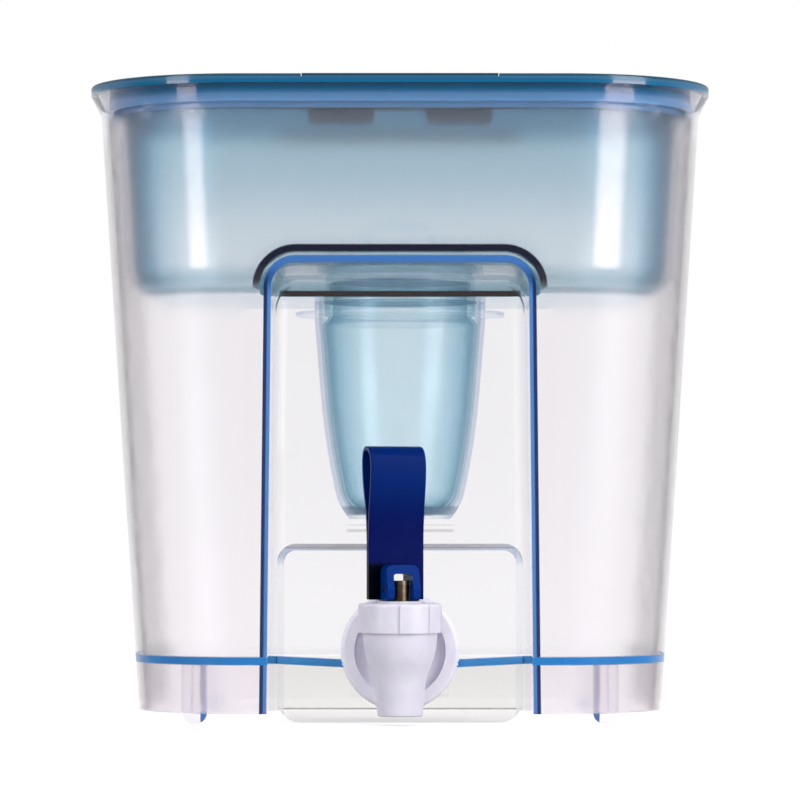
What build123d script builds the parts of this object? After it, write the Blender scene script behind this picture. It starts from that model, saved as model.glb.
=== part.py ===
"""Gravity water filter with a tap: a drafted clear tank, a tinted hopper that hangs in its mouth with a
cartridge well below it, a lid with a refill flap, a replaceable cartridge, and a lever tap in a front niche.

Frame: millimetres, +Z up, -Y towards the front (the tap side), origin on the resting plane at the middle of
the outline. Every piece is a solid of its own; the tap's moving pieces sit on the stem's vertical axis.
"""
import os
from math import cos, radians, sin

from build123d import *

# ---------------------------------------------------------------- heights
foot_height = 5.0  # the skirt's lower edge stands this far off the resting plane
floor_top_z = 29.2  # upper face of the tank's floor
floor_thickness = 3.4
shoulder_z = 263.0  # where the straight wall turns out into the lip
tank_top_z = 271.7  # upper face of the lip

# ---------------------------------------------------------------- tank
tank_wall = 3.0
base_width, base_depth, base_corner = 227.5, 156.0, 52.0
shoulder_width, shoulder_depth, shoulder_corner = 260.5, 178.5, 61.0
lip_width, lip_depth, lip_corner = 269.4, 187.0, 65.0
foot_radius, foot_edge = 5.2, 4.4
foot_spacing_x, foot_spacing_y = 176.0, 110.0

# niche for the tap, in the tank's front
niche_half_bottom = 56.5  # half-width at the skirt's edge
niche_half_top = 54.3  # half-width under the ceiling
niche_ceiling_mouth_z = 196.0
niche_ceiling_back_z = 189.6
niche_back_y = -43.5
niche_mouth_y = -97.0  # a plane clear of the front wall
niche_top_corner = 10.0
niche_back_edge = 9.0

# raised panel at the niche's back, which carries the tap and reaches down to the resting plane
panel_width, panel_top_z, panel_corner = 106.0, 77.0, 10.0
panel_rise = 3.0
sump_width, sump_depth, sump_floor_z = 36.0, 24.0, 14.0

# ---------------------------------------------------------------- hopper
hopper_gap = 6.0  # free space between the tank's wall and the hopper
hopper_wall = 2.2
hopper_floor_z, hopper_floor_thickness = 184.0, 2.6
hopper_bottom_edge = 12.0
hopper_flange = 1.3
locating_rib_depth, locating_rib_thickness, locating_clearance = 7.0, 1.8, 0.5
pocket_clearance, pocket_wall = 2.6, 2.6  # the hopper's notch over the niche

# ---------------------------------------------------------------- cartridge well
well_y = 15.0
well_wall = 2.0
well_neck_radius, well_flange_radius = 38.2, 46.6
well_flange_z, well_flange_thickness = 178.0, 1.6
well_shoulder_radius, well_shoulder_z = 38.0, 174.0
well_waist_radius, well_waist_z = 35.4, 143.0
well_hip_radius, well_hip_z = 28.9, 100.0
well_foot_radius, well_bottom_z = 22.5, 87.6
well_slots, well_slot_length, well_slot_width, well_slot_circle = 8, 8.0, 2.6, 11.0

# ---------------------------------------------------------------- lid and flap
lid_thickness = 2.6
lid_edge = 1.0
skirt_drop, skirt_thickness, skirt_clearance = 11.0, 2.0, 0.4
rib_spacing, rib_width, rib_height, rib_rise = 45.5, 1.4, 4.0, 0.25
flap_inset = 22.0  # from the lid's outline to the flap's recess
flap_ledge = 3.0
flap_gap = 0.4
flap_thickness = 1.5
flap_seat_gap = 0.1
hinge_y, hinge_radius, hinge_pin_radius, hinge_pin_length = 7.0, 1.9, 1.0, 4.5
hinge_pin_clearance, hinge_slot = 0.05, 2.8
hinge_barrel_half = 104.0
hinge_boss_depth, hinge_boss_drop = 7.0, 2.2
tab_width, tab_setback = 83.0, 0.4
baffle_y, baffle_thickness = -62.0, 2.0
baffle_half, baffle_drop, baffle_web_half, baffle_web_drop = 39.5, 19.0, 11.0, 12.0
baffle_corner = 4.0

# ---------------------------------------------------------------- cartridge
cartridge_clearance = 1.2
cartridge_wall = 1.6
cartridge_bore_radius = 34.5  # opening in the hopper's floor that the cartridge passes
cartridge_seal_clearance, cartridge_seal_height, cartridge_seal_depth = 0.3, 3.0, 2.6
cap_dome_height, cap_skirt, cap_wall = 11.0, 6.0, 1.6
cap_slots, cap_slot_length, cap_slot_width, cap_slot_circle = 10, 11.0, 2.4, 20.0
handle_width, handle_height, handle_span, handle_thickness = 10.0, 16.0, 32.0, 2.4
handle_corner = 7.0
screen_thickness = 0.8
outlet_slots, outlet_slot_length, outlet_slot_width, outlet_slot_circle = 8, 7.0, 2.0, 9.0
media_headroom, media_clearance = 8.0, 0.1

# ---------------------------------------------------------------- tap
tap_reach = 28.0  # from the panel's face to the stem's axis
shank_z, shank_radius, shank_bore = 31.0, 8.0, 5.0
shank_tail = 2.0  # shank beyond the nut
thread_clearance, wall_hole_clearance = 0.05, 0.3
shank_collar_radius, shank_collar_thickness = 11.0, 2.5  # collar that bears on the wall ring
gasket_thickness, gasket_radius = 1.5, 12.5
ring_radius, ring_thickness, ring_edge = 25.6, 8.0, 2.2
ring_dish_radius, ring_dish_depth = 19.6, 4.5
knurl_count, knurl_radius = 96, 0.45
nut_flats, nut_thickness = 24.0, 8.0
spout_bottom_z, spout_edge = 4.0, 1.0
spout_radius, spout_throat_radius, spout_bore_radius = 9.6, 10.6, 7.8
spout_straight_z, spout_hip_z, spout_hip_radius = 16.5, 27.8, 14.1
shoulder_radius, tap_shoulder_z = 15.9, 39.5
neck_radius, neck_top_z = 13.5, 49.0
chamber_radius, chamber_floor_z = 11.0, 24.5
seat_top_z, seat_ring_radius = 26.0, 9.2

bonnet_radius, bonnet_top_z, bonnet_edge = 17.1, 52.0, 1.5
bonnet_pads, bonnet_pad_rise = 8, 0.7
bonnet_seal_thickness = 0.6
bonnet_boss_radius, bonnet_boss_drop = 8.4, 2.6
stem_seal_radius, stem_seal_height = 5.9, 2.2

stem_radius, stem_clearance = 3.8, 0.08
stem_top_z, stem_disc_z, stem_disc_radius, stem_disc_thickness = 61.5, 36.0, 8.6, 1.5
stem_tail_radius, stem_tail_length = 3.0, 6.0
cup_radius, cup_gap, cup_edge = 9.3, 0.05, 1.2
washer_radius, washer_thickness = 9.5, 0.8
spring_radius, spring_wire_radius, spring_turns = 7.1, 0.45, 5

# ---------------------------------------------------------------- lever
lever_yaw = 18.0  # degrees the lever stands turned to the right of straight ahead
pin_z, pin_radius, pin_clearance, pin_press = 58.0, 1.6, 0.05, 0.01
lever_width, lever_strip, lever_edge = 24.6, 1.8, 0.5
lever_front, lever_back = -5.0, -8.6  # strap faces behind the stem's axis, at its foot
lever_foot, lever_top = -4.6, 60.7  # heights from the pin
loop_start, loop_middle, loop_shoulder = 17.0, 39.5, 51.0  # heights from the pin
loop_front, loop_back, lever_crest = -2.6, -15.0, -9.6
fork_half, fork_slot_half = 7.3, 4.2
fork_top, fork_slot_top, fork_corner, slot_corner = 10.2, 6.4, 3.0, 1.2
fork_front, fork_brow = 5.9, 3.3  # reach of the fork ahead of the stem's axis, at the pin and at its top
heel_gap = 0.1
cam_rise = 2.0  # millimetres of stem lift per radian of lever tilt
cam_angle, cam_steps = 40.0, 8

# ---------------------------------------------------------------- derived places
floor_bottom_z = floor_top_z - floor_thickness
panel_face_y = niche_back_y - panel_rise
panel_rear_y = panel_face_y + tank_wall
tap_y = panel_face_y - tap_reach
hopper_inset = tank_wall + hopper_gap
hopper_top_z = tank_top_z + hopper_flange
lid_top_z = hopper_top_z + lid_thickness
hinge_z = lid_top_z - hinge_radius
ring_back_y = panel_face_y - gasket_thickness
ring_front_y = ring_back_y - ring_thickness
ring_dish_y = ring_front_y + ring_dish_depth
inner_gasket_y = panel_rear_y + gasket_thickness
nut_end_y = inner_gasket_y + nut_thickness
bonnet_under_z = neck_top_z + bonnet_seal_thickness
bonnet_boss_z = bonnet_under_z - bonnet_boss_drop
stem_disc_top_z = stem_disc_z + stem_disc_thickness
washer_top_z = bonnet_top_z + washer_thickness
heel_depth = pin_z - washer_top_z - heel_gap


def wall_section(z, inset=0.0):
    """Width, depth and corner radius of the tank's drafted wall at height z, taken in by inset."""
    share = (z - foot_height) / (shoulder_z - foot_height)
    width = base_width + share * (shoulder_width - base_width)
    depth = base_depth + share * (shoulder_depth - base_depth)
    corner = base_corner + share * (shoulder_corner - base_corner)
    return width - 2 * inset, depth - 2 * inset, corner - inset


def drafted_block(low_z, high_z, inset):
    """Solid between two heights whose sides follow the tank's wall, taken in by inset."""
    with BuildPart() as block:
        with BuildSketch(Plane.XY.offset(low_z)):
            RectangleRounded(*wall_section(low_z, inset))
        with BuildSketch(Plane.XY.offset(high_z)):
            RectangleRounded(*wall_section(high_z, inset))
        loft()
    return block.part


def lip_block(inset, top_z):
    """Solid of the flared lip, from the shoulder up, taken in by inset."""
    with BuildPart() as block:
        with BuildSketch(Plane.XY.offset(shoulder_z)):
            RectangleRounded(*wall_section(shoulder_z, inset))
        with BuildSketch(Plane.XY.offset(top_z)):
            RectangleRounded(lip_width - 2 * inset, lip_depth - 2 * inset, lip_corner - inset)
        loft()
    return block.part


def niche_block(grow):
    """The niche's space, grown on every side by grow: open at the front and below, with a sloping ceiling."""
    low_z = -2 * foot_height

    def outline(plane, ceiling_z):
        """Front view of the niche on a plane, with its two upper corners rounded."""
        drift = (niche_half_bottom - niche_half_top) / (niche_ceiling_back_z - foot_height)
        half_low = niche_half_bottom + grow + drift * (foot_height - low_z)
        half_high = niche_half_bottom + grow - drift * (ceiling_z - foot_height)
        with BuildSketch(plane) as face:
            with BuildLine():
                Polyline(
                    (-half_low, low_z),
                    (half_low, low_z),
                    (half_high, ceiling_z),
                    (-half_high, ceiling_z),
                    close=True,
                )
            make_face()
            fillet(face.vertices().group_by(Axis.Z)[-1], niche_top_corner + grow)
        return face.sketch

    with BuildPart() as block:
        add(outline(Plane.XZ.offset(-niche_mouth_y), niche_ceiling_mouth_z + grow))
        add(outline(Plane.XZ.offset(-niche_back_y - grow), niche_ceiling_back_z + grow))
        loft()
        back_edges = block.faces().sort_by(Axis.Y)[-1].edges()
        fillet(back_edges.sort_by(Axis.Z)[1:], niche_back_edge + grow)
    return block.part


os.makedirs("parts", exist_ok=True)


def keep(piece, name):
    """Labels a finished piece and writes it as one STEP file."""
    piece.part.label = name
    export_step(piece.part, f"parts/{name}.step")


# ================================================================ tank
tank_envelope = drafted_block(foot_height, shoulder_z, 0)

with BuildPart() as niche_walls:
    add(niche_block(tank_wall))
    add(tank_envelope, mode=Mode.INTERSECT)

niche_space = niche_block(0)
lip_outer = lip_block(0, tank_top_z)
lip_inner = lip_block(tank_wall, tank_top_z)
tank_room = drafted_block(floor_top_z, shoulder_z, tank_wall)
skirt_room = drafted_block(foot_height, floor_bottom_z, tank_wall)

with BuildPart() as tank:
    add(tank_envelope)
    add(lip_outer)
    add(tank_room, mode=Mode.SUBTRACT)
    add(lip_inner, mode=Mode.SUBTRACT)
    add(skirt_room, mode=Mode.SUBTRACT)
    add(niche_walls.part)
    add(niche_space, mode=Mode.SUBTRACT)
    # raised panel, down to the resting plane
    with BuildSketch(Plane.XZ.offset(-niche_back_y)):
        with Locations((0, panel_top_z / 2)):
            RectangleRounded(panel_width, panel_top_z, panel_corner)
    extrude(amount=panel_rise)
    # the panel's wall keeps the tank's thickness: its back is hollowed above and below the floor
    hollow_width = panel_width - 2 * tank_wall
    with BuildSketch(Plane.XZ.offset(-niche_back_y)):
        with Locations((0, (floor_top_z + panel_top_z - tank_wall) / 2)):
            Rectangle(hollow_width, panel_top_z - tank_wall - floor_top_z)
        with Locations((0, (foot_height + floor_bottom_z) / 2)):
            Rectangle(hollow_width, floor_bottom_z - foot_height)
    extrude(amount=-tank_wall, mode=Mode.SUBTRACT)
    # sump behind the tap, so that the last of the water reaches the shank
    with BuildSketch(Plane.XY.offset(sump_floor_z - tank_wall)):
        with Locations((0, panel_face_y + (sump_depth + 2 * tank_wall) / 2)):
            Rectangle(sump_width + 2 * tank_wall, sump_depth + 2 * tank_wall)
    extrude(amount=floor_bottom_z - sump_floor_z + tank_wall)
    with BuildSketch(Plane.XY.offset(sump_floor_z)):
        with Locations((0, panel_rear_y + sump_depth / 2)):
            Rectangle(sump_width, sump_depth)
    extrude(amount=floor_top_z - sump_floor_z, mode=Mode.SUBTRACT)
    # hole for the tap's shank
    with BuildSketch(Plane.XZ.offset(-panel_face_y)):
        with Locations((0, shank_z)):
            Circle(shank_radius + wall_hole_clearance)
    extrude(amount=-2 * tank_wall, mode=Mode.SUBTRACT)
    # feet under the floor
    with BuildSketch():
        with GridLocations(foot_spacing_x, foot_spacing_y, 2, 2):
            Circle(foot_radius)
    extrude(amount=floor_bottom_z)
    foot_edges = tank.edges().filter_by(GeomType.CIRCLE).group_by(Axis.Z)[0]
    fillet([edge for edge in foot_edges if abs(edge.radius - foot_radius) < 0.01], foot_edge)
keep(tank, "tank")

# ================================================================ hopper
hopper_envelope_part = drafted_block(hopper_floor_z, tank_top_z, hopper_inset)
hopper_room_part = drafted_block(
    hopper_floor_z + hopper_floor_thickness, hopper_top_z, hopper_inset + hopper_wall
)

with BuildPart() as hopper_envelope:
    add(hopper_envelope_part)
    fillet(hopper_envelope.faces().sort_by(Axis.Z)[0].edges(), hopper_bottom_edge)

with BuildPart() as hopper_room:
    add(hopper_room_part)
    fillet(hopper_room.faces().sort_by(Axis.Z)[0].edges(), hopper_bottom_edge - hopper_wall)

with BuildPart() as pocket_walls:
    add(niche_block(tank_wall + pocket_clearance + pocket_wall))
    add(hopper_envelope.part, mode=Mode.INTERSECT)

pocket_space = niche_block(tank_wall + pocket_clearance)

with BuildPart() as hopper:
    add(hopper_envelope.part)
    with BuildSketch(Plane.XY.offset(tank_top_z)):
        RectangleRounded(lip_width, lip_depth, lip_corner)
    extrude(amount=hopper_flange)
    add(hopper_room.part, mode=Mode.SUBTRACT)
    # rib that centres the hopper in the tank's mouth
    rib_inset = tank_wall + locating_clearance
    with BuildSketch(Plane.XY.offset(tank_top_z)):
        RectangleRounded(*wall_section(shoulder_z, rib_inset))
        RectangleRounded(*wall_section(shoulder_z, rib_inset + locating_rib_thickness), mode=Mode.SUBTRACT)
    extrude(amount=-locating_rib_depth)
    add(pocket_walls.part)
    add(pocket_space, mode=Mode.SUBTRACT)
    with BuildSketch(Plane.XY.offset(hopper_floor_z)):
        with Locations((0, well_y)):
            Circle(cartridge_bore_radius)
    extrude(amount=hopper_floor_thickness, mode=Mode.SUBTRACT)
keep(hopper, "hopper")

# ================================================================ cartridge well
well_plane = Plane.XZ.offset(-well_y)


def cup_profile(inset, neck_radius, neck_top):
    """Half section of a cup on the well's axis: the well's side taken in by inset, under a straight neck."""
    with BuildSketch(well_plane) as half:
        with BuildLine():
            side = Line(
                (well_shoulder_radius - inset, well_shoulder_z), (well_waist_radius - inset, well_waist_z)
            )
            hip = TangentArc(side @ 1, (well_hip_radius - inset, well_hip_z), tangent=side % 1)
            foot = TangentArc(hip @ 1, (well_foot_radius - inset, well_bottom_z + inset), tangent=hip % 1)
            Polyline(
                foot @ 1,
                (0, well_bottom_z + inset),
                (0, neck_top),
                (neck_radius, neck_top),
                (neck_radius, well_flange_z),
                side @ 0,
            )
        make_face()
    return half.sketch


with BuildPart() as cartridge_well:
    add(cup_profile(0, well_neck_radius, hopper_floor_z))
    with BuildSketch(well_plane):
        with Locations((0, well_flange_z)):
            Rectangle(well_flange_radius, well_flange_thickness, align=(Align.MIN, Align.MIN))
    revolve(axis=Axis((0, well_y, 0), (0, 0, 1)))
    add(cup_profile(well_wall, well_neck_radius - well_wall, hopper_floor_z))
    revolve(axis=Axis((0, well_y, 0), (0, 0, 1)), mode=Mode.SUBTRACT)
    with BuildSketch(Plane.XY.offset(well_bottom_z)):
        with Locations((0, well_y)):
            with PolarLocations(well_slot_circle, well_slots):
                SlotOverall(well_slot_length, well_slot_width)
    extrude(amount=2 * well_wall, mode=Mode.SUBTRACT)
keep(cartridge_well, "cartridge_well")

# ================================================================ lid
hinge_line_y = hinge_y - hinge_boss_depth / 2
slot_half = hinge_barrel_half + flap_gap


def flap_plan(inset, rear_y, half, half_rear_y):
    """Plan of the flap's field: the lid's outline taken in by inset, ahead of rear_y, and a strip behind."""
    with BuildSketch() as plan:
        RectangleRounded(lip_width - 2 * inset, lip_depth - 2 * inset, lip_corner - inset)
        with Locations((0, rear_y)):
            Rectangle(lip_width, lip_depth, align=(Align.CENTER, Align.MAX), mode=Mode.INTERSECT)
        with Locations((0, rear_y)):
            Rectangle(2 * half, half_rear_y - rear_y, align=(Align.CENTER, Align.MIN))
    return plan.sketch


def tab_plan(grow, front_y):
    """Plan of the finger tab, from the flap's field out to front_y."""
    with BuildSketch() as plan:
        with Locations((0, front_y)):
            Rectangle(tab_width + 2 * grow, flap_inset + lip_corner / 2, align=(Align.CENTER, Align.MIN))
    return plan.sketch


lid_front_y = -lip_depth / 2
skirt_low_z = hopper_top_z - skirt_drop
skirt_inset = hopper_inset + hopper_wall + skirt_clearance

with BuildPart() as lid:
    with BuildSketch(Plane.XY.offset(hopper_top_z)):
        RectangleRounded(lip_width, lip_depth, lip_corner)
    extrude(amount=lid_thickness)
    fillet(lid.faces().sort_by(Axis.Z)[-1].edges(), lid_edge)
    # plug skirt
    add(drafted_block(skirt_low_z, hopper_top_z, skirt_inset))
    add(drafted_block(skirt_low_z, hopper_top_z, skirt_inset + skirt_thickness), mode=Mode.SUBTRACT)
    # ribs on the skirt's front and back
    skirt_face_y = wall_section(skirt_low_z, skirt_inset)[1] / 2
    with BuildSketch(Plane.XY.offset(skirt_low_z)):
        with GridLocations(rib_spacing, 2 * skirt_face_y, 3, 2):
            Rectangle(rib_width, 2 * rib_rise)
    extrude(amount=rib_height)
    # bosses for the hinge's pins
    with BuildSketch(Plane.XY.offset(hopper_top_z)):
        with Locations((slot_half, hinge_y), (-slot_half, hinge_y)):
            Rectangle(2 * hinge_boss_depth, hinge_boss_depth)
    extrude(amount=-hinge_boss_drop)
    # recess for the flap and its tab, the refill opening, and the slot for the hinge's barrel
    with BuildSketch(Plane.XY.offset(lid_top_z)):
        add(flap_plan(flap_inset - flap_gap, hinge_line_y, slot_half, hinge_y + hinge_slot))
        add(tab_plan(flap_gap, lid_front_y - 1))
    extrude(amount=-flap_thickness - flap_seat_gap, mode=Mode.SUBTRACT)
    with BuildSketch(Plane.XY.offset(lid_top_z)):
        add(flap_plan(flap_inset + flap_ledge, hinge_line_y - flap_ledge, slot_half, hinge_y + hinge_slot))
    extrude(amount=-2 * (lid_thickness + hinge_boss_drop), mode=Mode.SUBTRACT)
    with BuildSketch(Plane.YZ.offset(-slot_half - hinge_pin_length)):
        with Locations((hinge_y, hinge_z)):
            Circle(hinge_pin_radius + hinge_pin_clearance)
    extrude(amount=2 * (slot_half + hinge_pin_length), mode=Mode.SUBTRACT)
keep(lid, "lid")

with BuildPart() as refill_flap:
    with BuildSketch(Plane.XY.offset(lid_top_z)):
        add(flap_plan(flap_inset, hinge_line_y - 2 * flap_gap, hinge_barrel_half, hinge_y))
        add(tab_plan(0, lid_front_y + tab_setback))
    extrude(amount=-flap_thickness)
    with BuildSketch(Plane.YZ.offset(-hinge_barrel_half)):
        with Locations((hinge_y, hinge_z)):
            Circle(hinge_radius)
    extrude(amount=2 * hinge_barrel_half)
    with BuildSketch(Plane.YZ.offset(-hinge_barrel_half - hinge_pin_length)):
        with Locations((hinge_y, hinge_z)):
            Circle(hinge_pin_radius)
    extrude(amount=2 * (hinge_barrel_half + hinge_pin_length))
    # splash baffle under the flap: two lobes joined by a web
    with BuildSketch(Plane.XZ.offset(-baffle_y)) as baffle:
        with Locations((0, lid_top_z - flap_thickness / 2)):
            Rectangle(2 * baffle_half, baffle_drop, align=(Align.CENTER, Align.MAX))
            with Locations((0, -baffle_web_drop)):
                Rectangle(
                    2 * baffle_web_half, baffle_drop, align=(Align.CENTER, Align.MAX), mode=Mode.SUBTRACT
                )
        fillet(baffle.vertices().group_by(Axis.Y)[0], baffle_corner)
    extrude(amount=baffle_thickness / 2, both=True)
keep(refill_flap, "refill_flap")

# ================================================================ cartridge
cartridge_inset = well_wall + cartridge_clearance
cartridge_floor_z = well_bottom_z + cartridge_inset
cartridge_axis = Axis((0, well_y, 0), (0, 0, 1))
seal_inner_radius = cartridge_bore_radius - cartridge_seal_clearance - cartridge_seal_depth
seal_low_z = hopper_floor_z + (hopper_floor_thickness - cartridge_seal_height) / 2
seal_high_z = seal_low_z + cartridge_seal_height
collar_radius = cartridge_bore_radius - 3 * cartridge_seal_clearance
neck_z = seal_high_z + cap_skirt


with BuildPart() as cartridge_housing:
    add(cup_profile(cartridge_inset, seal_inner_radius, neck_z))
    with BuildSketch(well_plane):
        with Locations((0, well_flange_z)):
            Rectangle(collar_radius, seal_low_z - well_flange_z, align=(Align.MIN, Align.MIN))
    revolve(axis=cartridge_axis)
    add(cup_profile(cartridge_inset + cartridge_wall, seal_inner_radius - cartridge_wall, neck_z))
    revolve(axis=cartridge_axis, mode=Mode.SUBTRACT)
    with BuildSketch(Plane.XY.offset(cartridge_floor_z)):
        with Locations((0, well_y)):
            with PolarLocations(outlet_slot_circle, outlet_slots):
                SlotOverall(outlet_slot_length, outlet_slot_width)
    extrude(amount=2 * cartridge_wall, mode=Mode.SUBTRACT)
keep(cartridge_housing, "cartridge_housing")

with BuildPart() as cartridge_seal:
    with BuildSketch(Plane.XY.offset(seal_low_z)):
        with Locations((0, well_y)):
            Circle(seal_inner_radius + cartridge_seal_depth)
            Circle(seal_inner_radius, mode=Mode.SUBTRACT)
    extrude(amount=cartridge_seal_height)
keep(cartridge_seal, "cartridge_seal")

dome_radius = seal_inner_radius + cap_wall
dome_z = neck_z + screen_thickness
dome_top_z = dome_z + cap_dome_height


def dome_profile(inset, low_z):
    """Half section of the cap's skirt and dome, taken in by inset, from low_z up."""
    with BuildSketch(well_plane) as half:
        with BuildLine():
            crown = Spline(
                (dome_radius - inset, dome_z - inset / 4),
                (0, dome_top_z - inset),
                tangents=((0, 1), (-1, 0)),
            )
            Polyline(crown @ 1, (0, low_z), (dome_radius - inset, low_z), crown @ 0)
        make_face()
    return half.sketch


with BuildPart() as cartridge_cap:
    add(dome_profile(0, seal_high_z))
    with BuildSketch(well_plane):
        with Locations((0, seal_high_z)):
            Rectangle(well_neck_radius, cap_wall, align=(Align.MIN, Align.MIN))
    revolve(axis=cartridge_axis)
    add(dome_profile(cap_wall, seal_high_z))
    revolve(axis=cartridge_axis, mode=Mode.SUBTRACT)
    # grip across the dome's top
    with BuildSketch(Plane.XZ.offset(-well_y)) as strap:
        with Locations((0, dome_top_z - cap_wall / 2)):
            Rectangle(handle_span, handle_height, align=(Align.CENTER, Align.MIN))
        fillet(strap.vertices().group_by(Axis.Y)[-1], handle_corner)
        with Locations((0, dome_top_z)):
            Rectangle(
                handle_span - 2 * handle_thickness,
                handle_height - cap_wall / 2 - handle_thickness,
                align=(Align.CENTER, Align.MIN),
                mode=Mode.SUBTRACT,
            )
    extrude(amount=handle_width / 2, both=True)
    with BuildSketch(Plane.XY.offset(dome_top_z)):
        with Locations((0, well_y)):
            with PolarLocations(cap_slot_circle, cap_slots, start_angle=180 / cap_slots):
                SlotOverall(cap_slot_length, cap_slot_width)
    extrude(amount=dome_z - dome_top_z, mode=Mode.SUBTRACT)
keep(cartridge_cap, "cartridge_cap")

with BuildPart() as inlet_mesh:
    with BuildSketch(Plane.XY.offset(neck_z)):
        with Locations((0, well_y)):
            Circle(seal_inner_radius - cap_wall / 2)
    extrude(amount=screen_thickness)
keep(inlet_mesh, "inlet_mesh")

outlet_screen_z = cartridge_floor_z + cartridge_wall
outlet_screen_radius = well_foot_radius - cartridge_inset - cartridge_wall - media_clearance

with BuildPart() as outlet_mesh:
    with BuildSketch(Plane.XY.offset(outlet_screen_z)):
        with Locations((0, well_y)):
            Circle(outlet_screen_radius)
    extrude(amount=screen_thickness)
keep(outlet_mesh, "outlet_mesh")

media_inset = cartridge_wall + media_clearance
with BuildPart() as filter_media:
    add(cup_profile(cartridge_inset + media_inset, seal_inner_radius - media_inset, neck_z))
    revolve(axis=cartridge_axis)
    split(bisect_by=Plane.XY.offset(outlet_screen_z + screen_thickness), keep=Keep.TOP)
    split(bisect_by=Plane.XY.offset(neck_z - media_headroom), keep=Keep.BOTTOM)
keep(filter_media, "filter_media")

# ================================================================ tap
tap_axis = Axis((0, tap_y, 0), (0, 0, 1))
tap_section = Plane.XZ.offset(-tap_y)


def at_wall(y):
    """Plane across the shank's axis at y, looking towards the tap, with its origin on that axis."""
    return Plane(origin=(0, y, shank_z), x_dir=(1, 0, 0), z_dir=(0, -1, 0))


with BuildPart() as tap_body:
    with BuildSketch(tap_section):
        with BuildLine():
            Polyline(
                (spout_bore_radius, seat_top_z),
                (spout_bore_radius, spout_bottom_z),
                (spout_radius, spout_bottom_z),
                (spout_throat_radius, spout_straight_z),
            )
            Spline(
                (spout_throat_radius, spout_straight_z),
                (spout_hip_radius, spout_hip_z),
                (shoulder_radius, tap_shoulder_z),
                tangents=((0.08, 1), (0.05, 1)),
            )
            Polyline(
                (shoulder_radius, tap_shoulder_z),
                (neck_radius, tap_shoulder_z),
                (neck_radius, neck_top_z),
                (0, neck_top_z),
                (0, seat_top_z),
                (spout_bore_radius, seat_top_z),
            )
        make_face()
    revolve(axis=tap_axis)
    fillet(tap_body.faces().sort_by(Axis.Z)[0].outer_wire().edges(), spout_edge)
    # shank, back to the tank's wall and through it, with the collar that bears on the wall ring
    with BuildSketch(at_wall(ring_dish_y)):
        Circle(shank_collar_radius)
    extrude(amount=shank_collar_thickness)
    with BuildSketch(at_wall(nut_end_y + shank_tail)):
        Circle(shank_radius)
    extrude(amount=nut_end_y + shank_tail - tap_y)
    # valve chamber, seat and shank bore
    with BuildSketch(tap_section):
        with BuildLine():
            Polyline(
                (0, neck_top_z),
                (chamber_radius, neck_top_z),
                (chamber_radius, chamber_floor_z),
                (seat_ring_radius, chamber_floor_z),
                (seat_ring_radius, seat_top_z),
                (spout_bore_radius, seat_top_z),
                (spout_bore_radius, spout_bottom_z),
                (0, spout_bottom_z),
                close=True,
            )
        make_face()
    revolve(axis=tap_axis, mode=Mode.SUBTRACT)
    with BuildSketch(at_wall(nut_end_y + shank_tail)):
        Circle(shank_bore)
    extrude(amount=nut_end_y + shank_tail - tap_y, mode=Mode.SUBTRACT)
keep(tap_body, "tap_body")

with BuildPart() as wall_ring:
    with BuildSketch(at_wall(ring_back_y)):
        Circle(ring_radius)
        Circle(shank_radius + wall_hole_clearance, mode=Mode.SUBTRACT)
    extrude(amount=ring_thickness)
    ring_front_edges = wall_ring.faces().sort_by(Axis.Y)[0].outer_wire().edges()
    fillet(ring_front_edges, ring_edge)
    with BuildSketch(at_wall(ring_front_y)):
        Circle(ring_dish_radius)
    extrude(amount=-ring_dish_depth, mode=Mode.SUBTRACT)
    with BuildSketch(at_wall(ring_back_y)):
        with PolarLocations(ring_radius, knurl_count):
            Circle(knurl_radius)
    extrude(amount=ring_thickness, mode=Mode.SUBTRACT)
keep(wall_ring, "wall_ring")


def keep_gasket(name, back_y):
    """Builds one flat gasket on the shank, from back_y towards the tap, and keeps it."""
    with BuildPart() as gasket:
        with BuildSketch(at_wall(back_y)):
            Circle(gasket_radius)
            Circle(shank_radius + thread_clearance, mode=Mode.SUBTRACT)
        extrude(amount=gasket_thickness)
    keep(gasket, name)


keep_gasket("outer_gasket", panel_face_y)
keep_gasket("inner_gasket", inner_gasket_y)

with BuildPart() as wall_nut:
    with BuildSketch(at_wall(nut_end_y)):
        RegularPolygon(nut_flats / 2, 6, major_radius=False)
        Circle(shank_radius + thread_clearance, mode=Mode.SUBTRACT)
    extrude(amount=nut_thickness)
keep(wall_nut, "wall_nut")

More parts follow.
